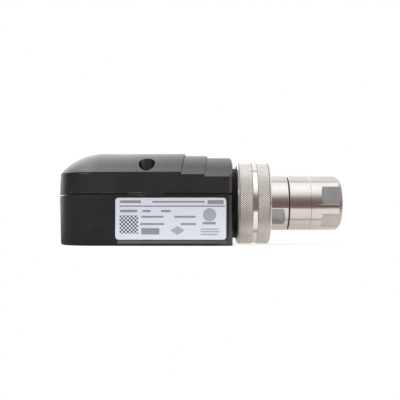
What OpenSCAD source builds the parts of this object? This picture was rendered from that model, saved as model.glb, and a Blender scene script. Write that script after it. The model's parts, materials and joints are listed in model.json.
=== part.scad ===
// Ultraviolet flame detector that hangs on a burner's sight tube.
// Millimetres. +X runs from the housing's nose to the burner, +Z is up,
// -Y is the side with the nameplate. The origin is the middle of the mouth
// of the burner thread, on the sight axis.

/* [Housing] */
// Length of the plastic housing, from its nose to its nut end
housing_l = 90.8; // [86:0.2:110]
// Width of the housing at the parting line
housing_w = 46; // [45.6:0.2:54]
// Depth of the base below the sight axis
base_drop = 21.8; // [21.6:0.1:27]
// Height of the base's rim above the sight axis
rim_z = 3.6; // [3:0.1:6]
// Thickness of the housing walls
wall = 2.8; // [2.2:0.1:3]
// Thickness of the floor of the base
floor_t = 2.6; // [2:0.1:2.8]
// Draft of the base's walls, in degrees
base_draft = 1.5; // [0.5:0.1:2]
// Draft of the cover's walls, in degrees
cover_draft = 2.5; // [0.5:0.1:3]
// Size of the upright corners at the nut end
corner_r = 3.5; // [2:0.1:4]
// Round along the bottom edge of the base
bottom_r = 1.2; // [0.6:0.1:1.6]

/* [Vaulted cover] */
// Height of the cover's ridge above the sight axis
ridge_z = 26.2; // [25.8:0.1:32]
// Radius of each side of the vault
vault_r = 29.5; // [29:0.1:34]
// Radius of the crown along the ridge
crown_r = 20; // [16:0.5:24]
// How far the centre of each vault side lies past the middle
vault_off = 0.5; // [0.3:0.1:2]
// Drop at each step of the vault
step_h = 1.1; // [0.6:0.05:1.2]
// Distance of the first step from the nut end
step_1 = 24.5; // [22:0.1:28]
// Distance of the second step from the nut end
step_2 = 12.8; // [10:0.1:16]
// Radius in plan of the steps' risers
riser_r = 180; // [140:5:240]
// Chamfer along the cover's top edge at the nut end
brow = 1.1; // [0.6:0.1:1.6]

/* [Parting line] */
// Height of the groove between the cover and the base
groove_h = 0.9; // [0.6:0.1:1.2]
// Depth of the groove between the cover and the base
groove_d = 2; // [1.5:0.1:2.2]
// Width of the thickened rims that meet at the parting line
rim_w = 5.7; // [5.5:0.1:6]
// Height of the thickened rims
rim_h = 2.8; // [2:0.1:3]
// Width of the cover's gasket
gasket_w = 1.6; // [1.2:0.1:1.7]
// Depth of the gasket's channel in the base
gasket_h = 1.3; // [1:0.1:1.6]
// Width of the lug of the cover at each screw
lug_w = 18; // [14:0.5:20]
// How far each lug reaches below the base's rim
lug_drop = 0.7; // [0.4:0.1:1]

/* [Cover screws] */
// Distance of the cover screws from the nut end
screw_back = 43.35; // [38:0.05:48]
// Distance of the cover screws from the side walls
screw_in = 5.2; // [5:0.1:5.6]
// Radius of the screws' shanks
screw_r = 2; // [1.5:0.1:2]
// Radius of the screws' heads
head_r = 3.5; // [3:0.1:3.6]
// Height of the screws' heads
head_h = 2.8; // [2:0.1:3.4]
// Thickness of the washers under the heads
screw_seal_t = 0.6; // [0.4:0.1:1]
// Radius of the recess above each head
recess_r = 4.15; // [3.8:0.05:4.3]
// Wall around each recess inside the cover
recess_wall = 1.6; // [1.2:0.1:2]
// Height of the seat of the heads above the rim
seat_up = 4.6; // [4:0.1:6]
// Reach of the screws into the base
screw_reach = 12; // [9:0.5:14]

/* [Nameplate] */
// Length of the nameplate
plate_l = 55.3; // [40:0.1:58]
// Height of the nameplate
plate_h = 20.9; // [14:0.1:21]
// Thickness of the nameplate
plate_t = 0.5; // [0.3:0.05:0.5]
// Depth of the pocket that holds the nameplate
pocket_d = 0.6; // [0.55:0.05:0.9]
// Gap around the nameplate in its pocket
plate_gap = 0.35; // [0.1:0.05:0.5]
// Distance of the nameplate from the nut end
plate_back = 3.3; // [3:0.1:8]
// Distance of the nameplate below the rim
plate_down = 1.4; // [1:0.1:2]
// Height of the slope under the nameplate
plate_slope = 2; // [1:0.1:2.2]
// Radius of the nameplate's corners
plate_r = 1.6; // [1:0.1:3]

/* [Union nut] */
// Length of the union nut
nut_l = 17.5; // [16:0.1:24]
// Outer radius of the union nut
nut_r = 21.4; // [21:0.1:21.5]
// Thickness of the union nut's shoulder
shoulder_t = 4; // [3:0.1:5]
// Distance of the smooth groove from the burner side of the nut
band_back = 8.2; // [7:0.1:9.5]
// Width of the smooth groove between the knurled bands
band_w = 2.2; // [1:0.1:3]
// Depth of the smooth groove
band_d = 0.4; // [0.2:0.05:0.6]
// Length of the nut's rim chamfer on the burner side
rim_front = 1; // [0.6:0.1:2.2]
// Length of the nut's rim chamfer on the housing side
rim_back = 1.7; // [0.6:0.1:2]
// Height of both rim chamfers
rim_rise = 1.1; // [0.6:0.1:1.6]

/* [Spigot] */
// Outer radius of the threaded spigot of the housing
spigot_r = 18.35; // [18:0.05:18.4]
// Inner radius of the spigot
spigot_bore = 13.4; // [11:0.1:14]
// Gap between the housing and the union nut
neck_gap = 2.2; // [1.4:0.1:5]
// Thickness of the spigot's flange inside the housing
flange_t = 3; // [2:0.1:4]
// Thickness of the flat seal between the spigot and the window holder
seal_t = 1.5; // [1:0.1:2]

/* [Burner adapter] */
// Length of the barrel that stands out of the union nut
barrel_l = 36.8; // [34:0.1:48]
// Radius of the barrel
barrel_r = 14.35; // [14:0.05:15]
// Length of the adapter that carries the burner thread
adapter_l = 27; // [24:0.1:28]
// Radius of the core of the burner thread
thread_r = 9.3; // [8.5:0.05:9.6]
// Depth of the burner thread
thread_l = 15; // [12:0.5:16]
// Radius of the sight passage
sight_r = 6; // [5:0.1:6.5]
// Width across the spanner flats of the adapter
flats_af = 27; // [26.4:0.1:27.4]
// Length of the spanner flats of the adapter
flats_l = 10.9; // [8:0.1:13]
// Distance of the holder's two flats from the dark ring
flats_back = 1.9; // [1:0.1:3]
// Radius of the cutter that mills the flats
mill_r = 16; // [8:0.5:24]
// Turn of the adapter's flats about the sight axis, in degrees
flats_turn = 15.8; // [0:0.1:60]
// Turn of the holder's two flats about the sight axis, in degrees
holder_turn = -32; // [-60:1:60]
// Chamfer at the mouth end of the barrel
mouth_edge = 2; // [0.6:0.1:2.2]
// Chamfer around the burner thread at the mouth
thread_edge = 0.6; // [0.4:0.1:1]
// Distance of the turned line on the barrel from the mouth
line_back = 16.1; // [12:0.1:18]
// Depth of the turned line on the barrel
line_d = 0.18; // [0.1:0.02:0.3]
// Thickness of the dark ring between the holder and the adapter
ring_t = 0.6; // [0.4:0.1:1]
// Depth of the dark ring below the barrel
ring_d = 0.8; // [0.4:0.1:1.2]
// Radius of the holder's threaded stub inside the adapter
stub_r = 11; // [10.4:0.1:11.4]
// Length of the holder's threaded stub
stub_l = 8; // [6:0.1:9]

/* [Window] */
// Radius of the quartz window
window_r = 8.5; // [7.5:0.1:9]
// Thickness of the quartz window
window_t = 2.5; // [1.5:0.1:3]
// Thickness of the window's seal
window_seal_t = 0.8; // [0.5:0.1:1.2]
// Thickness of the window's retaining ring
retainer_t = 1.6; // [1:0.1:2]

/* [Flame tube] */
// Radius of the ultraviolet tube
bulb_r = 9; // [7:0.1:10]
// Length of the ultraviolet tube
bulb_l = 34; // [28:0.5:38]
// Distance of the tube's dome from the nut end of the housing
bulb_back = 1.5; // [1:0.1:5]
// Thickness of the tube's socket
socket_t = 8; // [6:0.1:9]
// Width of the tube's socket
socket_w = 18; // [16:0.5:20]
// Radius of the pitch circle of the tube's pins
pin_pitch_r = 3.6; // [3:0.1:5]
// Radius of the tube's pins
pin_r = 0.5; // [0.4:0.05:0.6]
// Depth of the pins in the socket
pin_l = 6; // [4:0.1:6]

/* [Circuit board] */
// Length of the circuit board
board_l = 76; // [72:0.5:78]
// Width of the circuit board
board_w = 28; // [26:0.2:29]
// Thickness of the circuit board
board_t = 1.6; // [1:0.1:2]
// Height of the posts under the circuit board
post_h = 3.2; // [2:0.1:3.4]
// Radius of the posts under the circuit board
post_r = 2.6; // [2.2:0.1:3]
// Radius of the board screws
board_screw_r = 1.25; // [1:0.05:1.4]
// Height of the heads of the board screws
board_head_h = 1.4; // [1:0.1:2]
// Distance of the board screws' tips above the floor
board_tip = 1.2; // [0.8:0.1:1.6]
// Distance of the circuit board from the nut end of the housing
board_back = 8; // [7:0.1:10]

/* [Parts on the board] */
// Length of the transformer's core
core_l = 21; // [18:0.5:22]
// Width of the transformer's core
core_w = 18; // [16:0.5:20]
// Height of the transformer's core
core_h = 17; // [14:0.5:19]
// Thickness of the core's outer legs along the board
core_leg = 3.8; // [3:0.1:5]
// Width of the core's middle leg
core_tongue = 5.8; // [4:0.1:7]
// Width of each window of the core
core_window = 3.2; // [2:0.1:4]
// Height of the coil above the core
coil_up = 1.2; // [0.6:0.1:2]
// Distance of the transformer from the tube's socket
core_gap = 2; // [1:0.1:2.5]
// Radius of the two capacitors
capacitor_r = 3.1; // [2.5:0.1:3.2]
// Height of the two capacitors
capacitor_h = 11; // [8:0.5:13]
// Distance of each capacitor from the middle of the board
capacitor_side = 1.4; // [0.5:0.1:3]
// Number of poles of the terminal block
poles = 4; // [3:1:5]
// Pitch of the terminals
pole_pitch = 4.4; // [4:0.1:4.6]
// Depth of the terminal block
terminal_l = 8; // [6:0.1:8.4]
// Height of the terminal block
terminal_h = 10; // [8:0.1:12]
// Distance of the terminal screws from the wire side of the block
terminal_in = 5; // [4:0.1:6]
// Radius of the screw wells of the terminal block
well_r = 1.6; // [1.2:0.1:1.8]
// Depth of the screw wells
well_d = 3; // [2:0.1:4]
// Length of the terminal screws
terminal_screw_l = 2; // [1:0.1:2.5]
// Side of the wire holes of the terminal block
wire_w = 2.6; // [2:0.1:3]
// Height of the wire holes above the board
wire_up = 2.4; // [1.5:0.1:3]

/* [Cable gland] */
// Distance of the cable gland from the nut end
gland_back = 25; // [22:0.2:27]
// Height of the cable gland's axis below the base's rim
gland_down = 12.8; // [12.4:0.1:13]
// Radius of the gland's thread
gland_r = 8; // [7:0.1:8]
// Width across the flats of the gland's body
gland_af = 20; // [18.5:0.1:20.5]
// Thickness of the hexagon of the gland's body
gland_hex_t = 5; // [4:0.1:7]
// Length of the gland's dome nut
dome_l = 15; // [12:0.5:18]
// Radius of the cable that the gland holds
cable_r = 3.5; // [2.5:0.1:4]
// Gap around the cable in the gland's passages
cable_gap = 0.8; // [0.4:0.1:1]
// Wall of the gland's body around its seal
gland_wall = 1.6; // [1.2:0.1:2]
// Thickness of the gland's washer
gland_washer_t = 1.2; // [0.8:0.1:1.6]
// Thickness of the gland's lock nut
locknut_t = 2.5; // [2:0.1:4]
// Width of the lock nut around its thread
locknut_w = 1.5; // [1:0.1:2]

/* [Fits] */
// Gap around a thread or a screw
thread_gap = 0.06; // [0.04:0.01:0.08]
// Gap around the barrel in the union nut
run_gap = 0.08; // [0.05:0.01:0.1]
// Play along the axis at the union nut's shoulder
end_gap = 0.1; // [0.05:0.05:0.2]
// Gap between parts that are put together by hand
hand_gap = 0.1; // [0.05:0.05:0.2]

/* [Hidden] */
$fn = 72;
more = 1;
big = 200;
hair = 0.01;
root = 0.5;
fine_edge = 0.2;
small_edge = 0.8;
slot_w = 0.9;
slot_d = 1.4;
steps = 2;
pin_count = 3;

// Places along the sight axis
nut_x1 = -barrel_l;
nut_x0 = nut_x1 - nut_l;
house_x1 = nut_x0 - neck_gap;
house_x0 = house_x1 - housing_l;
nose_x = house_x0 + housing_w / 2;
inner_x1 = house_x1 - wall;
shoulder_x = nut_x1 - shoulder_t;
holder_flange_x1 = shoulder_x - end_gap;
holder_flange_t = 3.4;
holder_x0 = holder_flange_x1 - holder_flange_t;
spigot_x1 = holder_x0 - seal_t;
holder_x1 = -adapter_l - ring_t;
flange_x1 = inner_x1 - hand_gap;
flange_x0 = flange_x1 - flange_t;

// Places of the cover
floor_z = -base_drop + floor_t;
cover_z = rim_z + groove_h;
vault_rise = sqrt(pow(vault_r - crown_r, 2) - pow(vault_off, 2));
crown_z = ridge_z - crown_r;
vault_z = crown_z - vault_rise;
vault_parts = 10;
crown_parts = 3;
screw_x = house_x1 - screw_back;
screw_y = housing_w / 2 - screw_in;
seat_z = rim_z + seat_up;
shank_hole_r = screw_r + 2 * hand_gap;
gasket_in = groove_d + 1.1;
gasket_bend = screw_r + 1;
pad_r = gasket_bend + gasket_w + 1;
boss_r = screw_r + 2;

// Places of the parts inside
board_z = floor_z + post_h;
board_top = board_z + board_t;
board_x1 = house_x1 - board_back;
board_x0 = board_x1 - board_l;
board_corner = 10;
bulb_x1 = house_x1 - bulb_back;
bulb_x0 = bulb_x1 - bulb_l;
socket_x0 = bulb_x0 - socket_t;
core_x1 = socket_x0 - core_gap;
core_x0 = core_x1 - core_l;
coil_l = core_l - 2 * core_leg;
coil_side = core_tongue / 2 + core_window;
post_xs = [board_x0 + board_corner + 1, board_x1 - 3];
post_y = board_w / 2 - 3;
terminal_x0 = core_x0 - 2.6 * capacitor_r - terminal_l;
capacitor_x = core_x0 - 1.3 * capacitor_r;
gland_x = house_x1 - gland_back;
gland_z = rim_z - gland_down;
gland_seat_y = base_half(gland_z) - 0.5;
gland_hex_y = gland_seat_y + gland_washer_t;
dome_nose = 2.5;
dome_skirt = dome_l - root - dome_nose;
dome_hex_t = 6.6;
gland_neck_l = dome_skirt - more;
gland_socket = 7;
inner_y = base_half(floor_z) - wall;

// Half the width of the base at a height
function base_half(z) = housing_w / 2 - (rim_z - z) * tan(base_draft);

// Half the width of the cover at a height
function cover_half(z) = housing_w / 2 - (z - rim_z) * tan(cover_draft);

// Points on the right side of an outline, then the same on the left
function both_sides(right) = concat(
    right,
    [for (i = [len(right) - 1:-1:0]) [-right[i][0], right[i][1]]]
);

// Sweeps an upright section along the housing
module along(x0, x1) {
    translate([x0, 0, 0]) rotate([90, 0, 90]) linear_extrude(x1 - x0) children();
}

// Turns the right half of a section about the upright axis of the nose
module round_nose() {
    translate([nose_x, 0, 0]) rotate([0, 0, 90])
        rotate_extrude(angle = 180, $fn = 120)
            intersection() {
                children();
                translate([0, -big / 2]) square(big);
            }
}

// Turns an outline of radius and place along the sight axis
module turned(outline) {
    rotate([0, 90, 0]) rotate_extrude($fn = 120) polygon(outline);
}

// Plan of the housing, drawn in from its edge by a distance
module plan(inset) {
    half = housing_w / 2 - inset;
    translate([nose_x, 0]) circle(r = half, $fn = 120);
    translate([nose_x, -half]) square([house_x1 - inset - nose_x, 2 * half]);
}

// A rectangle with round corners
module rounded(size, r) {
    translate([r, 0]) square([size[0] - 2 * r, size[1]]);
    translate([0, r]) square([size[0], size[1] - 2 * r]);
    for (x = [r, size[0] - r], y = [r, size[1] - r])
        translate([x, y]) circle(r = r, $fn = 32);
}

// Both places of the cover screws
module at_screws() {
    for (side = [-1, 1]) translate([screw_x, side * screw_y]) children();
}

// Block that the housing's upright corners are rounded by
module corner_block(z0, z1) {
    half = housing_w / 2;
    arc = [for (a = [0:30:90]) [
        house_x1 - corner_r + corner_r * sin(a),
        half - corner_r + corner_r * cos(a)
    ]];
    side = concat([[house_x0 - more, half + more], [house_x1 - corner_r, half + more]], arc);
    translate([0, 0, z0]) linear_extrude(z1 - z0)
        polygon(concat(side, [for (i = [len(side) - 1:-1:0]) [side[i][0], -side[i][1]]]));
}

// Section of the base, drawn in from its walls
module base_section(inset, z0, z1, round_r) {
    half = base_half(z0) - inset;
    polygon(both_sides(concat(
        [[base_half(z1) - inset, z1]],
        [for (a = [0:22.5:90]) [
            half - round_r + round_r * cos(a),
            z0 + round_r - round_r * sin(a)
        ]]
    )));
}

// Angle from upright at which the vault's sides pass into its crown
function crown_angle() = asin(vault_off / (vault_r - crown_r));

// Angle from upright at which the vault's side meets the drafted wall
function vault_foot(inset) =
    let (
        k = tan(cover_draft),
        r = vault_r - inset,
        out = housing_w / 2 - inset + k * rim_z + vault_off,
        b = out * k + vault_z,
        c = out * out + vault_z * vault_z - r * r,
        z = (b + sqrt(b * b - (k * k + 1) * c)) / (k * k + 1)
    )
    acos((z - vault_z) / r);

// Right side of the vault, from an angle at its foot to the ridge
function vault_side(inset, foot) =
    let (r = vault_r - inset, join = crown_angle(), crown = crown_r - inset)
    concat(
        [for (i = [0:vault_parts]) let (a = foot + (join - foot) * i / vault_parts)
            [r * sin(a) - vault_off, vault_z + r * cos(a)]],
        [for (i = [1:crown_parts]) let (a = join * (1 - i / (crown_parts + 0.5)))
            [crown * sin(a), crown_z + crown * cos(a)]]
    );

// Section of the cover, drawn in from its walls and vault
module cover_section(inset, z0) {
    polygon(both_sides(concat(
        [[cover_half(z0) - inset, z0]], vault_side(inset, vault_foot(inset))
    )));
}

// What a step takes off the cover: all above the lowered vault, past the riser
module step_cut(inset, level) {
    end = house_x1 - (level == 1 ? step_1 : step_2);
    side = housing_w / 2 + more;
    foot = asin((side + vault_off) / (vault_r - inset));
    difference() {
        translate([end - corner_r, -side, 0]) cube([big, 2 * side, big]);
        translate([end - riser_r, 0, -more]) cylinder(r = riser_r, h = 2 * big, $fn = 240);
        translate([0, 0, -level * step_h]) along(end - 2 * corner_r, big)
            polygon(both_sides(concat([[side + more, -more]], [[side + more, 0]],
                vault_side(inset, foot))));
    }
}

// Body of the cover with its two steps down towards the nut
module cover_form(inset, z0, x1) {
    difference() {
        union() {
            along(nose_x, x1) cover_section(inset, z0);
            round_nose() cover_section(inset, z0);
        }
        for (level = [1:steps]) step_cut(inset, level);
    }
}

// Plan of the opening inside the thickened rims
module mouth_plan() {
    difference() {
        plan(rim_w);
        at_screws() circle(r = pad_r);
        spigot_corners();
    }
}

// Material that stays beside the spigot at the nut end
module spigot_corners() {
    for (side = [0, 1]) mirror([0, side])
        translate([flange_x0 - 2, housing_w / 2 - rim_w - 1])
            square([big, big]);
}

// Plan of the gasket, which bends round the screws on their inner side
module gasket_plan(gap) {
    difference() {
        plan(gasket_in - gap);
        at_screws() circle(r = gasket_bend - gap);
        difference() {
            plan(gasket_in + gasket_w + gap);
            at_screws() circle(r = gasket_bend + gasket_w + gap);
        }
        translate([flange_x0 - 2 + gap, -big / 2]) square(big);
    }
}

// A passage for the spigot through the nut end, open upwards from the axis
module spigot_passage(up) {
    r = spigot_r + hand_gap;
    x0 = flange_x0 - more;
    translate([x0, 0, 0]) rotate([0, 90, 0]) cylinder(r = r, h = big, $fn = 120);
    translate([x0, -r, 0]) cube([big, 2 * r, up]);
}

// Puts the nameplate's own plane on the near wall of the base
module on_near_wall() {
    translate([0, -base_half(rim_z), rim_z]) rotate([base_draft, 0, 0]) children();
}

// A slab on the near wall with the nameplate's outline
module plate_slab(grow, y0, y1) {
    x0 = house_x1 - plate_back - plate_l;
    rotate([90, 0, 0]) translate([x0 - grow, -plate_down - plate_h - grow, -y1])
        linear_extrude(y1 - y0)
            rounded([plate_l + 2 * grow, plate_h + 2 * grow], plate_r + grow);
}

// Pocket of the nameplate with the slope that runs out below it
module plate_pocket() {
    x0 = house_x1 - plate_back - plate_l;
    z0 = -plate_down - plate_h;
    plate_slab(plate_gap, -more, pocket_d);
    along(x0 + more, x0 + plate_l + plate_gap)
        polygon([
            [-more, z0 + more], [pocket_d, z0 + more], [pocket_d, z0 - plate_gap],
            [0, z0 - plate_slope], [-more, z0 - plate_slope]
        ]);
}

// Recesses of the base that the cover's lugs drop into
module lug_boxes(gap) {
    for (side = [0, 1]) mirror([0, side, 0])
        translate([screw_x - lug_w / 2 - gap, housing_w / 2 - groove_d - gap, rim_z - lug_drop - gap])
            cube([lug_w + 2 * gap, groove_d + gap, lug_drop + groove_h + gap]);
}

// Six-sided prism by its width across flats
module hexagon(af, h) {
    cylinder(r = af / 2 / cos(30), h = h, $fn = 6);
}

// Turns a part of the gland so that its axis points out of the far wall
module at_gland(y) {
    translate([gland_x, y, gland_z]) rotate([-90, 0, 0]) children();
}

// Base of the housing with its posts, rim channel, pocket and passages
module base_housing() {
    color([0.09, 0.09, 0.1]) {
        difference() {
            intersection() {
                union() {
                    along(nose_x, house_x1) base_section(0, -base_drop, rim_z, bottom_r);
                    round_nose() base_section(0, -base_drop, rim_z, bottom_r);
                }
                corner_block(-base_drop - more, rim_z + more);
            }
            base_hollow();
            translate([0, 0, rim_z - gasket_h])
                linear_extrude(gasket_h + more) gasket_plan(thread_gap);
            spigot_passage(big);
            lug_boxes(hand_gap);
            on_near_wall() plate_pocket();
            at_gland(gland_seat_y) cylinder(r = gland_af / 2 / cos(30) + hand_gap, h = big);
            at_gland(inner_y - wall - more) cylinder(r = gland_r + hand_gap, h = big);
            for (side = [-1, 1])
                translate([screw_x, side * screw_y, rim_z - screw_reach - more])
                    cylinder(r = screw_r + thread_gap, h = big, $fn = 48);
        }
        base_posts();
        spigot_ribs();
    }
}

// Space inside the base below its thickened rim and through its mouth
module base_hollow() {
    top = rim_z - rim_h;
    difference() {
        union() {
            along(nose_x, inner_x1) base_section(wall, floor_z, top, bottom_r);
            round_nose() base_section(wall, floor_z, top, bottom_r);
        }
        for (side = [-1, 1])
            translate([screw_x, side * screw_y, floor_z - more])
                cylinder(r = boss_r, h = big);
    }
    translate([0, 0, top - hair]) linear_extrude(big) mouth_plan();
}

// Posts that carry the circuit board
module base_posts() {
    for (x = post_xs, side = [-1, 1])
        translate([x, side * post_y, floor_z - root]) difference() {
            cylinder(r = post_r, h = post_h + root, $fn = 40);
            translate([0, 0, more])
                cylinder(r = board_screw_r + thread_gap, h = post_h + more, $fn = 32);
        }
}

// Ribs on the side walls that hold the spigot's flange against the end wall
module spigot_ribs() {
    rib_t = 1.8;
    rib_in = 2.4;
    rib_top = rim_z - rim_h;
    for (side = [0, 1]) mirror([0, side, 0])
        translate([flange_x0 - hand_gap - rib_t, inner_y - rib_in, floor_z - root])
            cube([rib_t, rib_in + root, rib_top - floor_z + 2 * root]);
}

// Vaulted cover with its steps, screw recesses and lugs
module cover() {
    color([0.09, 0.09, 0.1]) difference() {
        union() {
            intersection() {
                difference() {
                    union() {
                        cover_form(0, cover_z, house_x1);
                        translate([0, 0, rim_z])
                            linear_extrude(groove_h + fine_edge) plan(groove_d);
                    }
                    cover_hollow();
                }
                corner_block(rim_z - more, ridge_z + more);
                cover_end();
            }
            lug_boxes(0);
        }
        spigot_passage(hair);
        for (side = [-1, 1]) translate([screw_x, side * screw_y, 0]) {
            translate([0, 0, seat_z]) cylinder(r = recess_r, h = big, $fn = 64);
            cylinder(r = shank_hole_r, h = big, $fn = 48);
        }
    }
}

// Profile of the cover's nut end, with the chamfer above it
module cover_end() {
    top = ridge_z - steps * step_h;
    rotate([90, 0, 0]) translate([0, 0, -big / 2]) linear_extrude(big)
        polygon([
            [house_x0 - more, rim_z - more], [house_x1, rim_z - more],
            [house_x1, top - 4 * brow], [house_x1 - brow / 2, top - brow],
            [house_x1 - 1.5 * brow, top], [house_x1 - 1.5 * brow, ridge_z + more],
            [house_x0 - more, ridge_z + more]
        ]);
}

// Space inside the cover above its thickened rim and through its mouth
module cover_hollow() {
    difference() {
        cover_form(wall, rim_z + rim_h, inner_x1);
        for (side = [-1, 1]) translate([screw_x, side * screw_y, 0])
            cylinder(r = recess_r + recess_wall, h = big);
    }
    translate([0, 0, rim_z - more]) linear_extrude(rim_h + more + hair) mouth_plan();
}

// Rubber gasket between the rims
module cover_gasket() {
    color([0.16, 0.16, 0.17]) translate([0, 0, rim_z - gasket_h])
        linear_extrude(gasket_h) gasket_plan(0);
}

// Cross-recessed screws that hold the cover
module cover_screws() {
    slot_l = 2 * head_r - 2 * slot_d;
    color([0.6, 0.6, 0.6]) for (side = [-1, 1])
        translate([screw_x, side * screw_y, 0]) difference() {
            union() {
                translate([0, 0, seat_z + screw_seal_t])
                    cylinder(r = head_r, h = head_h, $fn = 48);
                translate([0, 0, rim_z - screw_reach])
                    cylinder(r = screw_r, h = seat_z + more - rim_z + screw_reach, $fn = 48);
            }
            for (turn = [0, 90]) rotate([0, 0, turn])
                translate([-slot_l / 2, -slot_w / 2, seat_z + screw_seal_t + head_h - slot_d])
                    cube([slot_l, slot_w, slot_d + more]);
        }
}

// Rubber washers under the screw heads
module screw_seals() {
    color([0.16, 0.16, 0.17]) for (side = [-1, 1])
        translate([screw_x, side * screw_y, seat_z]) difference() {
            cylinder(r = head_r, h = screw_seal_t, $fn = 48);
            translate([0, 0, -more])
                cylinder(r = screw_r + hand_gap, h = screw_seal_t + 2 * more, $fn = 48);
        }
}

// Plate in the pocket of the near wall
module nameplate() {
    color([0.85, 0.87, 0.9]) on_near_wall() plate_slab(0, pocket_d - plate_t, pocket_d);
}

// Spigot that carries the union nut, with its flange inside the housing
module threaded_spigot() {
    flange_side = inner_y - 3 * hand_gap;
    color([0.09, 0.09, 0.1]) difference() {
        union() {
            turned([
                [0, flange_x0], [spigot_r, flange_x0], [spigot_r, spigot_x1 - small_edge],
                [spigot_r - small_edge, spigot_x1], [0, spigot_x1]
            ]);
            intersection() {
                turned([[0, flange_x0], [big / 4, flange_x0], [big / 4, flange_x1], [0, flange_x1]]);
                translate([flange_x0 - more, -flange_side, floor_z + hand_gap])
                    cube([big, 2 * flange_side, rim_z - rim_h - floor_z - 2 * hand_gap]);
            }
        }
        turned([
            [0, flange_x0 - more], [spigot_bore, flange_x0 - more],
            [spigot_bore, spigot_x1 + more], [0, spigot_x1 + more]
        ]);
    }
}

// Rubber ring between the spigot's flange and the end wall, in the passage
module spigot_seal() {
    color([0.16, 0.16, 0.17]) intersection() {
        turned([
            [spigot_r, inner_x1 + root], [spigot_r + hand_gap, inner_x1 + root],
            [spigot_r + hand_gap, house_x1 - root], [spigot_r, house_x1 - root]
        ]);
        translate([house_x0, -big / 2, -big]) cube([big, big, big]);
    }
}

// Knurled nut that draws the window holder against the spigot
module union_nut() {
    bore = spigot_r + thread_gap;
    hole = barrel_r + run_gap;
    waist_x = nut_x1 - band_back;
    color([0.8, 0.78, 0.74]) turned([
        [bore + small_edge, nut_x0], [nut_r - rim_rise, nut_x0], [nut_r, nut_x0 + rim_back],
        [nut_r, waist_x - band_w / 2], [nut_r - band_d, waist_x - band_w / 2],
        [nut_r - band_d, waist_x + band_w / 2], [nut_r, waist_x + band_w / 2],
        [nut_r, nut_x1 - rim_front], [nut_r - rim_rise, nut_x1],
        [hole + root, nut_x1], [hole, nut_x1 - root], [hole, shoulder_x],
        [bore, shoulder_x], [bore, nut_x0 + small_edge]
    ]);
}

// Path of the cutter that mills a flat: straight, with a round end at x_round
module mill_path(x_round, x_open) {
    toward = sign(x_open - x_round);
    middle = x_round + toward * mill_r;
    intersection() {
        translate([min(x_round, x_open), -mill_r]) square([abs(x_open - x_round), 2 * mill_r]);
        union() {
            translate([middle, 0]) circle(r = mill_r, $fn = 96);
            translate([middle + (toward - 1) * big / 2, -mill_r]) square([big, 2 * mill_r]);
        }
    }
}

// Cuts spanner flats into the barrel, the first one turned up from the near side
module flats(count, turn, x_round, x_open) {
    for (i = [0:count - 1]) rotate([-turn - i * 360 / count, 0, 0])
        translate([0, -flats_af / 2, 0]) rotate([90, 0, 0])
            linear_extrude(barrel_r) mill_path(x_round, x_open);
}

// Flanged holder of the quartz window, with a stub for the adapter
module window_holder() {
    pocket_x = holder_x0 + retainer_t + window_t + window_seal_t;
    color([0.8, 0.78, 0.74]) difference() {
        turned([
            [window_r + hand_gap, holder_x0], [spigot_r - small_edge, holder_x0],
            [spigot_r - small_edge, holder_flange_x1], [barrel_r, holder_flange_x1],
            [barrel_r, holder_x1 - fine_edge], [barrel_r - fine_edge, holder_x1],
            [stub_r, holder_x1], [stub_r, holder_x1 + stub_l],
            [sight_r, holder_x1 + stub_l], [sight_r, pocket_x],
            [window_r + hand_gap, pocket_x]
        ]);
        flats(2, holder_turn, holder_x1 - flats_back, nut_x1 + fine_edge);
    }
}

// A ring on the sight axis
module axis_ring(r0, r1, x0, x1) {
    turned([[r0, x0], [r1, x0], [r1, x1], [r0, x1]]);
}

// Seal behind the quartz window
module window_seal() {
    x0 = holder_x0 + retainer_t + window_t;
    color([0.2, 0.2, 0.2]) axis_ring(sight_r + root, window_r, x0, x0 + window_seal_t);
}

// Quartz window across the sight passage
module quartz_window() {
    x0 = holder_x0 + retainer_t;
    x1 = x0 + window_t;
    color([0.85, 0.9, 0.95]) turned([
        [0, x0], [window_r - fine_edge, x0], [window_r, x0 + fine_edge],
        [window_r, x1 - fine_edge], [window_r - fine_edge, x1], [0, x1]
    ]);
}

// Ring that holds the quartz window
module window_retainer() {
    color([0.75, 0.62, 0.35])
        axis_ring(sight_r, window_r + hand_gap - thread_gap, holder_x0, holder_x0 + retainer_t);
}

// Flat seal between the spigot and the window holder
module flange_seal() {
    color([0.2, 0.2, 0.2]) axis_ring(spigot_bore, spigot_r - small_edge, spigot_x1, holder_x0);
}

// Dark ring between the holder and the adapter
module joint_ring() {
    color([0.12, 0.11, 0.1])
        axis_ring(stub_r + thread_gap, barrel_r - ring_d, holder_x1, -adapter_l);
}

// Adapter with the female burner thread and six spanner flats
module burner_adapter() {
    socket_end = holder_x1 + stub_l + root;
    throat = socket_end + more;
    color([0.8, 0.78, 0.74]) difference() {
        turned([
            [stub_r + thread_gap, -adapter_l], [barrel_r - fine_edge, -adapter_l],
            [barrel_r, -adapter_l + fine_edge], [barrel_r, -line_back - line_d],
            [barrel_r - line_d, -line_back], [barrel_r, -line_back + line_d],
            [barrel_r, -mouth_edge], [barrel_r - mouth_edge, 0],
            [thread_r + thread_edge, 0], [thread_r, -thread_edge], [thread_r, -thread_l],
            [sight_r, min(-thread_l - root, throat)], [sight_r, socket_end],
            [stub_r + thread_gap, socket_end]
        ]);
        flats(6, flats_turn, -flats_l, more);
    }
}

// Glass envelope of the ultraviolet tube
module uv_tube() {
    color([0.8, 0.82, 0.85]) rotate([0, 90, 0]) rotate_extrude($fn = 96) {
        translate([0, bulb_x0]) square([bulb_r, bulb_l - bulb_r]);
        intersection() {
            translate([0, bulb_x1 - bulb_r]) circle(r = bulb_r, $fn = 96);
            translate([0, bulb_x1 - bulb_r]) square(bulb_r);
        }
    }
}

// Places of the tube's pins about the sight axis
module at_pins(x) {
    for (i = [0:pin_count - 1]) rotate([i * 360 / pin_count, 0, 0])
        translate([x, 0, pin_pitch_r]) rotate([0, 90, 0]) children();
}

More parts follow.
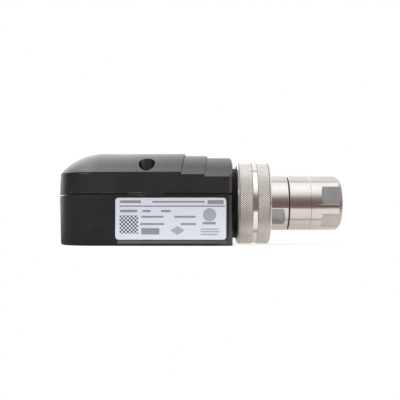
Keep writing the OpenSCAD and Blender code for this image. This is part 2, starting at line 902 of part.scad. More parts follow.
// Pins of the tube in its socket
module tube_pins() {
    color([0.75, 0.7, 0.55]) at_pins(bulb_x0 - pin_l) cylinder(r = pin_r, h = pin_l, $fn = 24);
}

// Socket that carries the tube over the circuit board
module tube_socket() {
    color([0.75, 0.73, 0.68]) difference() {
        union() {
            translate([socket_x0, -socket_w / 2, board_top])
                cube([socket_t, socket_w, -board_top]);
            translate([socket_x0, 0, 0]) rotate([0, 90, 0])
                cylinder(r = socket_w / 2, h = socket_t, $fn = 72);
        }
        at_pins(bulb_x0 - pin_l - root)
            cylinder(r = pin_r + thread_gap, h = pin_l + more, $fn = 24);
    }
}

// Circuit board on its posts, cut to the round nose
module circuit_board() {
    half = board_w / 2;
    color([0.1, 0.35, 0.2]) difference() {
        translate([0, 0, board_z]) linear_extrude(board_t) polygon([
            [board_x1, -half], [board_x1, half], [board_x0 + board_corner, half],
            [board_x0, half - board_corner], [board_x0, board_corner - half],
            [board_x0 + board_corner, -half]
        ]);
        for (x = post_xs, side = [-1, 1]) translate([x, side * post_y, board_z - more])
            cylinder(r = board_screw_r + hand_gap, h = board_t + 2 * more, $fn = 32);
        translate([0, 0, board_z - more]) linear_extrude(board_t + 2 * more)
            at_screws() circle(r = boss_r + 3 * hand_gap);
    }
}

// Screws of the circuit board
module board_screws() {
    color([0.6, 0.6, 0.6]) for (x = post_xs, side = [-1, 1])
        translate([x, side * post_y, 0]) {
            translate([0, 0, board_top])
                cylinder(r = 2 * board_screw_r, h = board_head_h, $fn = 32);
            translate([0, 0, floor_z + board_tip])
                cylinder(r = board_screw_r, h = board_top - floor_z - board_tip + root, $fn = 32);
        }
}

// Windows of the transformer's core that the coil fills
module core_windows(gap) {
    for (side = [0, 1]) mirror([0, side, 0])
        translate([core_x0 + core_leg - gap, core_tongue / 2 - gap, board_top - more])
            cube([coil_l + 2 * gap, core_window + 2 * gap, core_h + 2 * more]);
}

// Laminated core of the transformer
module transformer_core() {
    color([0.45, 0.45, 0.47]) difference() {
        translate([core_x0, -core_w / 2, board_top]) cube([core_l, core_w, core_h]);
        core_windows(hand_gap);
    }
}

// Coil on the middle leg of the transformer's core
module transformer_coil() {
    color([0.75, 0.45, 0.2]) {
        intersection() {
            core_windows(0);
            translate([core_x0, -core_w / 2, board_top])
                cube([core_l, core_w, core_h + hand_gap + coil_up]);
        }
        translate([core_x0 + core_leg, -coil_side, board_top + core_h + hand_gap])
            cube([coil_l, 2 * coil_side, coil_up]);
    }
}

// Two capacitors beside the terminals
module capacitors() {
    color([0.15, 0.2, 0.35]) for (side = [-1, 1])
        translate([capacitor_x, side * (capacitor_r + capacitor_side), board_top])
            cylinder(r = capacitor_r, h = capacitor_h, $fn = 48);
}

// Place of each terminal across the board
module at_poles() {
    for (i = [0:poles - 1])
        translate([terminal_x0 + terminal_in, (i - (poles - 1) / 2) * pole_pitch, 0])
            children();
}

// Terminal block with a wire hole and a screw well for each pole
module terminal_block() {
    color([0.2, 0.4, 0.3]) difference() {
        translate([terminal_x0, -poles * pole_pitch / 2, board_top])
            cube([terminal_l, poles * pole_pitch, terminal_h]);
        at_poles() {
            translate([0, 0, board_top + terminal_h - well_d])
                cylinder(r = well_r, h = well_d + more, $fn = 32);
            translate([-terminal_l, -wire_w / 2, board_top + wire_up])
                cube([terminal_l + wire_w / 2, wire_w, wire_w]);
        }
    }
}

// Slotted screws of the terminals
module terminal_screws() {
    color([0.7, 0.7, 0.68]) at_poles() difference() {
        translate([0, 0, board_top + terminal_h - well_d])
            cylinder(r = well_r - hand_gap, h = terminal_screw_l, $fn = 32);
        translate([-well_r, -slot_w / 3, board_top + terminal_h - well_d + terminal_screw_l / 2])
            cube([2 * well_r, slot_w * 2 / 3, terminal_screw_l]);
    }
}

// Body of the cable gland through the far wall
module gland_body() {
    reach = gland_hex_y - inner_y + locknut_t + more;
    color([0.1, 0.1, 0.11]) difference() {
        union() {
            at_gland(gland_hex_y) hexagon(gland_af, gland_hex_t);
            at_gland(gland_hex_y - reach)
                cylinder(r = gland_r, h = reach + gland_hex_t + gland_neck_l, $fn = 72);
        }
        at_gland(gland_hex_y - reach - more)
            cylinder(r = cable_r + cable_gap, h = big, $fn = 72);
        at_gland(gland_hex_y + gland_hex_t + gland_neck_l - gland_socket)
            cylinder(r = gland_r - gland_wall, h = big, $fn = 72);
    }
}

// Washer under the hexagon of the gland
module gland_washer() {
    color([0.16, 0.16, 0.17]) at_gland(gland_seat_y) difference() {
        cylinder(r = gland_af / 2 - root, h = gland_washer_t);
        translate([0, 0, -more]) cylinder(r = gland_r + hand_gap, h = big);
    }
}

// Nut that holds the gland inside the base
module gland_locknut() {
    color([0.1, 0.1, 0.11]) at_gland(inner_y - root - locknut_t) difference() {
        hexagon(2 * (gland_r + locknut_w), locknut_t);
        translate([0, 0, -more]) cylinder(r = gland_r + thread_gap, h = big);
    }
}

// Rubber sleeve that grips the cable
module gland_seal() {
    y0 = gland_hex_y + gland_hex_t + gland_neck_l - gland_socket;
    color([0.16, 0.16, 0.17]) at_gland(y0) difference() {
        cylinder(
            r = gland_r - gland_wall - thread_gap,
            h = dome_skirt - gland_neck_l + gland_socket,
            $fn = 72
        );
        translate([0, 0, -more]) cylinder(r = cable_r, h = big, $fn = 72);
    }
}

// Dome nut of the gland
module gland_dome() {
    y0 = gland_hex_y + gland_hex_t;
    dome_r = (gland_af - root) / 2;
    color([0.1, 0.1, 0.11]) difference() {
        union() {
            at_gland(y0 + root) hexagon(2 * dome_r, dome_hex_t);
            at_gland(y0 + root) cylinder(r = dome_r, h = dome_skirt, $fn = 72);
            at_gland(y0 + root + dome_skirt)
                cylinder(r1 = dome_r, r2 = cable_r + 2 * more, h = dome_nose, $fn = 72);
        }
        at_gland(y0) cylinder(r = gland_r + thread_gap, h = dome_skirt, $fn = 72);
        at_gland(y0) cylinder(r = cable_r + cable_gap, h = big, $fn = 72);
    }
}

base_housing();
cover();
cover_gasket();
cover_screws();
screw_seals();
nameplate();
threaded_spigot();
spigot_seal();
union_nut();
window_holder();
window_seal();
quartz_window();
window_retainer();
flange_seal();
joint_ring();
burner_adapter();
uv_tube();
tube_pins();
tube_socket();
circuit_board();
board_screws();
transformer_core();
transformer_coil();
capacitors();
terminal_block();
terminal_screws();
gland_body();
gland_washer();
gland_locknut();
gland_seal();
gland_dome();
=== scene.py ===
# %% [markdown]
# # A flame detector on a white table
#
# The object is a black plastic housing with a vaulted cover, a knurled union nut and a turned
# metal adapter. Its pieces already exist as solid models, so this lesson is about what a solid
# model lacks: grain, softened edges, a thread, a knurl and light. Each step first says what the
# real thing is like and how it could be made, and then makes it.

# %% Load the solid model
import json
import math

import bpy
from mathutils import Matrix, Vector

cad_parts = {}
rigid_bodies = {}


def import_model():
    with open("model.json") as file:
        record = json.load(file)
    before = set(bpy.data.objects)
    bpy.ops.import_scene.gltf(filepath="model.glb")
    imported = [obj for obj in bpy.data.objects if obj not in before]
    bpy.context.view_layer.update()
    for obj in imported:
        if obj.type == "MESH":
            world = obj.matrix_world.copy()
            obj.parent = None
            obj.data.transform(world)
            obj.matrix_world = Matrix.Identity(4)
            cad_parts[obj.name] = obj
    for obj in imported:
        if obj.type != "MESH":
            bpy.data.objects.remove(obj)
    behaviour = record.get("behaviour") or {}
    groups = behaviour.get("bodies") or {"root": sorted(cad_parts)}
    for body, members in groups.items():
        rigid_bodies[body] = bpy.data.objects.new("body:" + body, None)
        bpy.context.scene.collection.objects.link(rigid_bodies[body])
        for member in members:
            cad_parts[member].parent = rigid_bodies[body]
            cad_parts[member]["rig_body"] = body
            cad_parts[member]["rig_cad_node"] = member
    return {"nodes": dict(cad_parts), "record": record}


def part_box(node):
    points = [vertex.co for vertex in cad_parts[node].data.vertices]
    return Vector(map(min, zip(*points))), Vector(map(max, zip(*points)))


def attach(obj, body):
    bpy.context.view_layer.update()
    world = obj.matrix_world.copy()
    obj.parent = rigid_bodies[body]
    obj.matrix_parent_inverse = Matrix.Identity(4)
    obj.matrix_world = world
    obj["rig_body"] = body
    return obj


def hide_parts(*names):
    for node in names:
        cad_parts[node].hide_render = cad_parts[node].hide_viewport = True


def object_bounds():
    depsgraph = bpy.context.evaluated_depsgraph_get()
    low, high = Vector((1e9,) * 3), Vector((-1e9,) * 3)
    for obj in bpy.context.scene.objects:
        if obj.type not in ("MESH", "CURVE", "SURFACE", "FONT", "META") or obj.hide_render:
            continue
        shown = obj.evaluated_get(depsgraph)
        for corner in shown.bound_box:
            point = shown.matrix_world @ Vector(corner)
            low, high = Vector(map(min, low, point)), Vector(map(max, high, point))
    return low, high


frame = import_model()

cad_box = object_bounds()
nodes = frame["nodes"]
MM = 0.001
print("solid model:", [tuple(round(c / MM, 1) for c in corner) for corner in cad_box])

# %% [markdown]
# ## Places that the other steps use
#
# Everything is measured from the solid model, so that a changed size moves the looks with it.
# The sight axis is the X axis, and the origin is the middle of the mouth of the burner thread.
# Blender counts in metres and a maker in millimetres, so MM turns the one into the other.

# %% Places along the sight axis
nut_low, nut_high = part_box("union_nut")
base_low, base_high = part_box("base_housing")
plate_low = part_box("nameplate")[0]
nut_radius = nut_high.z
barrel_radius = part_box("burner_adapter")[1].z
print("nut radius", round(nut_radius / MM, 2), "barrel radius", round(barrel_radius / MM, 2))

# %% [markdown]
# ## The camera
#
# The picture shows the detector from the side, and a few clues place the camera. Round edges of
# the adapter look like narrow ovals, which gives its distance. The height at which level edges
# stay level gives its height, a little below the sight axis. The camera is turned a little up
# towards the middle of the picture, so no lens shift is needed.
#
# POINT_SIZE is what one point of the picture covers in the plane of the sight axis. With it, a
# place in the picture becomes a place on the object, and the lens follows from the distance.

# %% Camera
PICTURE_SIDE = 400
POINT_SIZE = 0.532 * MM
MOUTH_POINT = (337.5, 203.3)
EYE_POINT = (208.0, 220.0)
CAMERA_DISTANCE = 350 * MM
SENSOR = 36.0


def at_point(across, down):
    """Place in the plane of the sight axis that a point of the picture shows."""
    x = (across - MOUTH_POINT[0]) * POINT_SIZE
    z = (MOUTH_POINT[1] - down) * POINT_SIZE
    return Vector((x, 0, z))


eye = at_point(*EYE_POINT) - Vector((0, CAMERA_DISTANCE, 0))
target = at_point(PICTURE_SIDE / 2, PICTURE_SIDE / 2)
aim = target - eye
bpy.ops.object.camera_add(location=eye, rotation=aim.to_track_quat("-Z", "Y").to_euler())
camera = bpy.context.object
camera.data.sensor_width = SENSOR
camera.data.lens = SENSOR * aim.length / (PICTURE_SIDE * POINT_SIZE)
bpy.context.scene.camera = camera
print("lens", round(camera.data.lens, 1), "mm")

# %% [markdown]
# ## Writing materials as sums
#
# A material is a graph of nodes. Wiring it by hand takes many lines, so three small classes let a
# graph be written as a sum. The first is the Flow, a value on its way through the graph. Adding,
# subtracting or multiplying flows adds the Math nodes, and a plain number may stand on either
# side. A ramp turns a value into a mask from 0 to 1 with soft ends, and most patterns below are
# products of such masks.

# %% A value on its way


class Flow:
    """A number that changes over a surface and takes part in sums."""

    def __init__(self, graph, socket):
        self.graph = graph
        self.socket = socket

    def math(self, operation, *values):
        return self.graph.node("ShaderNodeMath", {"operation": operation}, dict(enumerate(values)))

    def __add__(self, other):
        return self.math("ADD", self, other)

    def __radd__(self, other):
        return self.math("ADD", other, self)

    def __sub__(self, other):
        return self.math("SUBTRACT", self, other)

    def __rsub__(self, other):
        return self.math("SUBTRACT", other, self)

    def __mul__(self, other):
        return self.math("MULTIPLY", self, other)

    def __rmul__(self, other):
        return self.math("MULTIPLY", other, self)

    def abs(self):
        return self.math("ABSOLUTE", self)

    def root(self):
        return self.math("SQRT", self)

    def ramp(self, low, high):
        """0 below low, 1 above high and smooth between them. A high under low turns it round."""
        return self.graph.node(
            "ShaderNodeMapRange",
            {"interpolation_type": "SMOOTHSTEP"},
            {"Value": self, "From Min": low, "From Max": high},
        )


print("Flow:", Flow.__doc__)

# %% [markdown]
# Every other node comes from Graph.node. It takes the node's type, its settings, and the numbers
# or flows for its inputs. A Math node would turn a colour grey, so colours are mixed by blend, or
# read by stops from a table that pairs places from 0 to 1 with colours.

# %% A graph of nodes


class Graph:
    """A node graph that is filled by code."""

    def __init__(self, tree):
        self.tree = tree

    def node(self, kind, settings=None, inputs=None, output=0):
        """Adds a node, sets it up, feeds its inputs and gives one of its outputs."""
        made = self.tree.nodes.new(kind)
        for key, value in (settings or {}).items():
            setattr(made, key, value)
        for key, value in (inputs or {}).items():
            if isinstance(value, Flow):
                self.tree.links.new(value.socket, made.inputs[key])
            else:
                made.inputs[key].default_value = value
        return Flow(self, made.outputs[output])

    def part(self, vector, axis):
        """One part of a vector: X, Y or Z."""
        return self.node("ShaderNodeSeparateXYZ", inputs={0: vector}, output=axis)

    def scaled(self, vector, scale):
        """A vector with each part multiplied by its own number."""
        return self.node(
            "ShaderNodeVectorMath", {"operation": "MULTIPLY"}, {0: vector, 1: scale}
        )

    def blend(self, factor, first, second):
        """Goes from the first colour to the second as the factor goes from 0 to 1."""
        colours = {"Factor": factor}
        colours[6] = first if isinstance(first, Flow) else (*first, 1)
        colours[7] = second if isinstance(second, Flow) else (*second, 1)
        return self.node("ShaderNodeMix", {"data_type": "RGBA"}, colours, output=2)

    def stops(self, value, table):
        """Follows a value through a table of places and colours."""
        ramp = self.node("ShaderNodeValToRGB", inputs={"Fac": value}, output="Color")
        elements = ramp.socket.node.color_ramp.elements
        for element, (place, colour) in zip(elements, (table[0], table[-1])):
            element.position, element.color = place, (*colour, 1)
        for place, colour in table[1:-1]:
            elements.new(place).color = (*colour, 1)
        return ramp


print("Graph:", Graph.__doc__)

# %% [markdown]
# A Finish is the graph of one material, with one glossy shader at its end. Its patterns read the
# place on the object, so they stay on a piece that turns. That place is given in millimetres, and
# the sizes of patterns are then sizes that a ruler would find on the real thing.

# %% A finish


class Finish(Graph):
    """A material with one glossy shader, and the graph in front of it."""

    def __init__(self, name, **constants):
        self.material = bpy.data.materials.new(name)
        self.material.use_nodes = True
        super().__init__(self.material.node_tree)
        self.shader = self.tree.nodes["Principled BSDF"]
        for socket, value in constants.items():
            self.shader.inputs[socket.replace("_", " ")].default_value = value

    def feed(self, socket, flow):
        self.tree.links.new(flow.socket, self.shader.inputs[socket])

    def place(self):
        """The place on the object, as a vector."""
        return self.node("ShaderNodeTexCoord", output="Object")

    def along(self, axis):
        """The place on the object along one axis, in millimetres."""
        return self.part(self.place(), axis) * (1 / MM)

    def from_axis(self):
        """The distance from the sight axis, in millimetres."""
        flat = self.scaled(self.place(), (0, 1, 1))
        length = {"operation": "LENGTH"}
        return self.node("ShaderNodeVectorMath", length, {0: flat}, output="Value") * (1 / MM)

    def noise(self, grain, detail=2.0, stretch=(1, 1, 1)):
        """Cloudy noise with features of a size in millimetres."""
        vector = self.scaled(self.place(), tuple(s / (grain * MM) for s in stretch))
        return self.node(
            "ShaderNodeTexNoise", inputs={"Vector": vector, "Scale": 1.0, "Detail": detail}
        )

    def bump(self, height, depth):
        """Raises the surface by a height from 0 to 1, times a depth in millimetres."""
        self.feed("Normal", self.node("ShaderNodeBump", inputs={
            "Height": height, "Distance": depth * MM, "Strength": 1.0
        }))

    def done(self):
        """Says how many nodes the finish took, and gives the material."""
        print(self.material.name, len(self.tree.nodes), "nodes")
        return self.material


def shade(colour, share):
    """A colour made darker by a share below 1, or lighter by one above 1."""
    return tuple(share * c for c in colour)


print("Finish:", Finish.__doc__)

# %% [markdown]
# ## Black plastic
#
# The housing is glass-filled nylon. Its colour is nearly nothing, and what shows is what its skin
# mirrors. Up close the skin has a fine spark-eroded grain, which catches the light in small glints
# and scatters reflections. A noise with features of a few tenths of a millimetre drives the bump,
# and a second, slow noise makes the gloss uneven, the way handled plastic is. Sparse specks are
# painted paler and glossier: painted glints on the grain.
#
# The edges that stand out are painted pale, partly wear and partly a painted highlight along them:
# the rims of the base and of the cover, and the foot of the vault. Each lies at one height, so a
# narrow mask along Z finds it. Two noises break it up, one into short streaks and one into marked
# and unmarked stretches.

# %% Black plastic
PATCH = 14
SPECK = 0.9
STREAK = 2.2
PATCHY_STRETCH = 13
SHEEN_AND_WEAR = (0.16, 0.16, 0.165)


def lit_worn_edge(made, height, reach):
    """1 in broken streaks along the edge at a height, and 0 past its reach, in millimetres."""
    line = (made.along("Z") - height).abs().ramp(reach, 0.3 * reach)
    streaks = made.noise(STREAK, 4, (0.25, 1, 1)).ramp(0.47, 0.6)
    return line * streaks * made.noise(PATCHY_STRETCH, 2, (0.5, 1, 1)).ramp(0.45, 0.6)


def black_plastic(name, colour, gloss, grain, depth, shine=1.0, lit_worn_edges=()):
    """Dark plastic or rubber, with a grain of a size and depth in millimetres."""
    made = Finish(name, Specular_IOR_Level=shine)
    patch = made.noise(PATCH, 3)
    # Painted glints: sparse specks of the grain get a paler colour and a lower roughness.
    speck = made.noise(SPECK, 4).ramp(0.6, 0.72)
    pale = tuple(c + 0.03 for c in shade(colour, 3.0))
    tone = made.blend(patch.ramp(0.35, 0.7), colour, shade(colour, 1.6))
    tone = made.blend(speck * 0.35, tone, pale)
    # Painted highlight and wear: a pale colour in broken streaks along the edges at these heights.
    for height, reach in lit_worn_edges:
        tone = made.blend(lit_worn_edge(made, height, reach) * 0.8, tone, SHEEN_AND_WEAR)
    made.feed("Base Color", tone)
    made.feed("Roughness", gloss + 0.12 * patch - 0.1 * speck)
    made.bump(made.noise(grain, 3), depth)
    return made.done()


base_rim = base_high.z / MM
cover_rim = base_rim + 1.15
vault_foot = base_rim + 10.9
# The rims and the vault foot of the housing and cover get the painted edge highlight and wear.
housing_plastic = black_plastic(
    "housing_plastic", (0.0055, 0.006, 0.008), gloss=0.25, grain=0.42, depth=0.04,
    lit_worn_edges=((cover_rim, 0.3), (vault_foot, 0.45), (base_rim - 0.2, 0.25)),
)
# The neck is black plastic, given a darker colour and a duller skin than the housing as painted
# shade in the gap between housing and nut.
shaded_neck_plastic = black_plastic(
    "shaded_neck_plastic", (0.004, 0.004, 0.005), gloss=0.5, grain=0.6, depth=0.02, shine=0.2
)
gland_plastic = black_plastic(
    "gland_plastic", (0.02, 0.02, 0.022), gloss=0.4, grain=0.6, depth=0.02, shine=0.5
)
rubber = black_plastic(
    "seal_rubber", (0.012, 0.012, 0.012), gloss=0.6, grain=0.8, depth=0.01, shine=0.5
)

# %% [markdown]
# ## Turned metal
#
# A lathe leaves fine rings round a piece. They depend only on the place along the axis, so a noise
# of one dimension, fed by X, makes them. A fine one and a coarse one are added, because a tool
# leaves its feed and also its chatter.
#
# Where the distance from the axis falls short of the barrel's radius, the surface is a milled
# flat: duller, greyer, with marks across the axis. The flats between two heights face the viewer
# and are painted grey, a painted reflection of the dark side of the room. The others are painted
# with some of the table's warmth, a painted reflection too.

# %% Turned metal
FINE_RINGS = 0.12
COARSE_RINGS = 1.4
MILL_MARKS = 0.5
SMUDGE = 7
MARK_COLOUR = (0.12, 0.115, 0.11)
METAL_COLOUR = (0.67, 0.64, 0.61)
METAL_GLOSS = 0.12
FLAT_RADIUS = barrel_radius / MM - 0.05
FACING_ABOVE = (-6, -3)
FACING_BELOW = (10, 8)


def rings(made, width):
    """Noise that changes along the sight axis alone."""
    return made.node(
        "ShaderNodeTexNoise",
        {"noise_dimensions": "1D"},
        {"W": made.along("X") * (1 / width), "Scale": 1.0, "Detail": 2.0},
    )


def turned_metal(name, facing_flats_reflection, other_flats_reflection):
    """Metal off the lathe, with a painted reflection colour for flats that face the viewer and one
    for the others.
    """
    made = Finish(name, Metallic=1.0)
    fine = rings(made, FINE_RINGS)
    coarse = rings(made, COARSE_RINGS)
    smudge = made.noise(SMUDGE, 3)
    flat = made.from_axis().ramp(FLAT_RADIUS, FLAT_RADIUS - 0.04)
    marks = made.noise(MILL_MARKS, 2, (1, 0.06, 0.06))
    # Painted reflection: flats within this band of heights get the dark room's grey, the others the
    # table's warmth.
    facing = made.along("Z").ramp(*FACING_ABOVE) * made.along("Z").ramp(*FACING_BELOW)
    milled = made.blend(facing, other_flats_reflection, facing_flats_reflection)
    milled = made.blend(marks.ramp(0.3, 0.8) * 0.18, milled, MARK_COLOUR)
    round_tone = made.blend(smudge, METAL_COLOUR, shade(METAL_COLOUR, 0.9))
    made.feed("Base Color", made.blend(flat, round_tone, milled))
    made.feed("Roughness", METAL_GLOSS + 0.07 * coarse + 0.06 * smudge + 0.06 * flat)
    made.bump(0.7 * fine + 0.3 * coarse + 1.2 * flat * marks, depth=0.004)
    return made.done()


barrel_metal = turned_metal("barrel_metal", (0.31, 0.312, 0.318), (0.56, 0.51, 0.47))
holder_metal = turned_metal("holder_metal", (0.36, 0.35, 0.34), (0.36, 0.35, 0.34))

# %% [markdown]
# ## Knurled metal
#
# The nut's bands are rough to the hand and scatter what they mirror, so they get a higher
# roughness than the smooth groove between them. The knurl's valleys are painted darker, as grime
# and as painted shade between the tips. They lie a little further in than the tips, so the distance
# from the axis tells them apart. The darkening is weaker low on the nut: painted shade on its top
# and painted light on its lower part.

# %% Knurled metal
KNURL_DEPTH = 0.2 * MM
KNURL_COLOUR = (0.84, 0.805, 0.76)
GRIME_AND_SHADE_COLOUR = (0.24, 0.22, 0.2)
LIGHTER_LOW = (-15, -7)
valley = nut_radius - KNURL_DEPTH


def knurled_metal():
    made = Finish("nut_metal", Metallic=1.0)
    # Valleys painted darker, as grime and painted shade; weaker low on the nut, which paints its
    # top darker and its bottom lighter.
    low = (made.from_axis() - valley / MM).abs().ramp(0.11, 0.0)
    grime_and_shade = low * (0.25 + 0.75 * made.along("Z").ramp(*LIGHTER_LOW))
    smooth = made.from_axis().ramp(valley / MM - 0.1, valley / MM - 0.18)
    smudge = made.noise(SMUDGE, 3)
    clean = made.blend(smudge, KNURL_COLOUR, shade(KNURL_COLOUR, 0.93))
    made.feed("Base Color", made.blend(grime_and_shade, clean, GRIME_AND_SHADE_COLOUR))
    made.feed("Roughness", 0.48 + 0.08 * smudge + 0.13 * low - 0.36 * smooth)
    made.bump(rings(made, FINE_RINGS), depth=0.003)
    return made.done()


nut_metal = knurled_metal()

# %% [markdown]
# ## The nameplate's face
#
# The plate is a cool white film with plain fields of grey: a rule, bars, a disc, a rhombus and a
# block of small squares. Boxes are written as left, right, bottom and top, in millimetres from the
# plate's lower left corner. The disc and the rhombus have their middle, their reach, and whether
# they are round.

# %% Shapes on the plate
PLATE_WHITE = (0.76, 0.81, 0.89)
PLATE_INK = (0.06, 0.06, 0.07)
PLATE_GREY = (0.3, 0.31, 0.34)
PLATE_PALE = (0.42, 0.44, 0.48)
RULE = (2.2, 54.6, 16.5, 16.95)
BARS = [
    (2.4, 12.8, 18.2, 19.6), (18.5, 44.5, 18.4, 19.3), (46.0, 54.0, 17.7, 19.7),
    (2.4, 11.0, 13.6, 14.9), (13.6, 17.6, 13.7, 14.8), (22.8, 27.6, 13.7, 14.8),
    (13.0, 24.0, 10.9, 11.9), (29.5, 40.0, 10.9, 11.9),
    (12.4, 24.4, 7.3, 8.3), (32.6, 40.2, 7.3, 8.3),
    (13.0, 22.0, 2.6, 5.8), (43.5, 50.0, 7.6, 8.8),
    (42.6, 51.0, 2.4, 2.9), (42.6, 52.0, 3.7, 4.2), (42.6, 51.5, 5.0, 5.5),
]
DISC = (47.0, 12.4, 3.3, True)
RHOMBUS = (31.0, 4.6, 3.6, False)
BLOCK = (2.2, 11.4, 3.0, 12.2)
SQUARE = 0.95
print("shapes on the plate:", len(BARS) + len((RULE, DISC, RHOMBUS, BLOCK)))

# %% [markdown]
# Each shape becomes a mask made from the place on the plate, and each mask lays one more colour
# over the white. A bar is the product of four soft-edged ramps, and a disc or a rhombus compares a
# distance with its reach. The squares come from a Checker node. It is a chess board of cubes, and
# a wall with draft would cut through several layers of them, so its Y is held at 0 and only the
# face counts.

# %% Nameplate face
EDGE = 0.06


def field(made, x0, x1, z0, z1):
    """1 inside a rectangle on the plate."""
    x = made.along("X") - plate_low.x / MM
    z = made.along("Z") - plate_low.z / MM
    inside_x = x.ramp(x0 - EDGE, x0 + EDGE) * x.ramp(x1 + EDGE, x1 - EDGE)
    inside_z = z.ramp(z0 - EDGE, z0 + EDGE) * z.ramp(z1 + EDGE, z1 - EDGE)
    return inside_x * inside_z


def spot(made, x, z, reach, round_shape):
    """1 inside a disc or a rhombus on the plate."""
    across = made.along("X") - (plate_low.x / MM + x)
    up = made.along("Z") - (plate_low.z / MM + z)
    if round_shape:
        away = (across * across + up * up).root()
    else:
        away = across.abs() + up.abs() * 1.6
    return away.ramp(reach + EDGE, reach - EDGE)


def nameplate_face():
    made = Finish("plate_face", Specular_IOR_Level=0.4)
    tone = made.blend(made.noise(12, 2), PLATE_WHITE, shade(PLATE_WHITE, 0.96))
    for box in BARS:
        tone = made.blend(field(made, *box), tone, PLATE_GREY)
    for shape in (DISC, RHOMBUS):
        tone = made.blend(spot(made, *shape), tone, PLATE_PALE)
    tone = made.blend(field(made, *RULE), tone, PLATE_INK)
    squares = made.node("ShaderNodeTexChecker", inputs={
        "Vector": made.scaled(made.place(), (1, 0, 1)), "Scale": 1 / (SQUARE * MM),
        "Color1": (*PLATE_INK, 1), "Color2": (*PLATE_WHITE, 1)
    })
    made.feed("Base Color", made.blend(field(made, *BLOCK), tone, squares))
    made.feed("Roughness", 0.34 + 0.08 * made.noise(3, 2))
    return made.done()


plate_face = nameplate_face()

# %% [markdown]
# ## The finishes inside
#
# The pieces inside show through the mouth of the adapter or not at all, but each still gets the
# finish of its real counterpart: quartz, ceramic, copper, brass and coated laminate. One function
# is enough for them, with a cloud of slightly darker tone and duller gloss. The record of the
# solid model says which finish each node takes.

# %% Finishes inside


def plain(name, colour, roughness, metallic=0.0, grain=3.0, **constants):
    """A finish with slight changes of tone and gloss."""
    made = Finish(name, Metallic=metallic, **constants)
    cloud = made.noise(grain, 3)
    made.feed("Base Color", made.blend(cloud, colour, shade(colour, 0.85)))
    made.feed("Roughness", roughness + 0.1 * cloud)
    return made.done()


slot_finish = {
    "housing_plastic": housing_plastic,
    "gland_plastic": gland_plastic,
    "seal_rubber": rubber,
    "turned_metal": barrel_metal,
    "plate_face": plate_face,
    "screw_steel": plain("screw_steel", (0.56, 0.56, 0.55), 0.25, metallic=1.0, grain=1.0),
    "plain_brass": plain("plain_brass", (0.7, 0.53, 0.27), 0.22, metallic=1.0, grain=2.0),
    "socket_ceramic": plain("socket_ceramic", (0.74, 0.72, 0.66), 0.55),
    "board_laminate": plain("board_laminate", (0.03, 0.16, 0.07), 0.3),
    "core_steel": plain("core_steel", (0.28, 0.28, 0.29), 0.4, metallic=1.0, grain=0.5),
    "coil_copper": plain("coil_copper", (0.62, 0.3, 0.13), 0.35, metallic=1.0, grain=0.4),
    "capacitor_can": plain("capacitor_can", (0.05, 0.07, 0.16), 0.3),
    "terminal_plastic": plain("terminal_plastic", (0.08, 0.25, 0.13), 0.4),
    "quartz": plain("quartz", (0.93, 0.96, 0.98), 0.02, grain=20.0, Transmission_Weight=1.0),
}
slot_of = {part["node"]: part["material_slot"] for part in frame["record"]["subparts"]}
for name, obj in nodes.items():
    obj.data.materials.clear()
    obj.data.materials.append(slot_finish[slot_of[name]])
print(len(slot_finish), "finishes on", len(nodes), "nodes")

# %% [markdown]
# ## Softened edges
#
# No moulded or turned edge is perfectly sharp, and the thin highlight along an edge is what makes
# it look real. A solid model's mesh is loose triangles, so a copy is welded, and its flat faces
# are made whole again. The copy also brings shading directions and sharp marks of its own, which
# would show as streaks once the mesh has changed, so they are cleared.

# %% A welded copy


def only(obj):
    """Leaves one object selected and active."""
    bpy.ops.object.select_all(action="DESELECT")
    obj.select_set(True)
    bpy.context.view_layer.objects.active = obj


def welded_copy(node):
    """A copy of a node as one skin with whole flat faces."""
    piece = nodes[node].copy()
    piece.data = nodes[node].data.copy()
    piece.name = "soft_" + node
    piece.parent = None
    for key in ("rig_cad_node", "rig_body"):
        del piece[key]
    bpy.context.collection.objects.link(piece)
    only(piece)
    bpy.ops.mesh.customdata_custom_splitnormals_clear()
    bpy.ops.object.mode_set(mode="EDIT")
    bpy.ops.mesh.select_all(action="SELECT")
    bpy.ops.mesh.remove_doubles(threshold=0.002 * MM)
    bpy.ops.mesh.dissolve_limited(angle_limit=math.radians(0.2))
    bpy.ops.mesh.mark_sharp(clear=True)
    bpy.ops.object.mode_set(mode="OBJECT")
    return piece


base = welded_copy("base_housing")
triangles = len(nodes["base_housing"].data.polygons)
print("base", triangles, "triangles, welded to", len(base.data.polygons), "faces")

# %% [markdown]
# A narrow Bevel then goes round every edge that is sharp enough. A Weighted Normal modifier lets
# the large faces rule the shading, so that they stay flat and the bevel alone turns the light. The
# base is creased instead: its walls meet the slope under the plate at a low angle, and there the
# large faces would shade each other.

# %% Softened copies


def soften(piece, width, angle=30, crease=None):
    """Bevels a piece's sharp edges, then creases it or lets its large faces rule the shading."""
    only(piece)
    bpy.ops.object.modifier_add(type="BEVEL")
    bevel = piece.modifiers[-1]
    bevel.width = width * MM
    bevel.segments = 2
    bevel.limit_method = "ANGLE"
    bevel.angle_limit = math.radians(angle)
    bpy.ops.object.modifier_apply(modifier=bevel.name)
    bpy.ops.object.shade_smooth_by_angle(angle=math.radians(crease or angle))
    if crease:
        return piece
    bpy.ops.object.modifier_add(type="WEIGHTED_NORMAL")
    weighted = piece.modifiers[-1]
    weighted.weight = 90
    weighted.keep_sharp = True
    bpy.ops.object.modifier_apply(modifier=weighted.name)
    return piece


def dress(piece, node, finish, body="detector"):
    """Puts a finished piece in the place of a node of the solid model."""
    piece.data.materials.clear()
    piece.data.materials.append(finish)
    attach(piece, body)
    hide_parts(node)
    print(piece.name, len(piece.data.polygons), "faces")


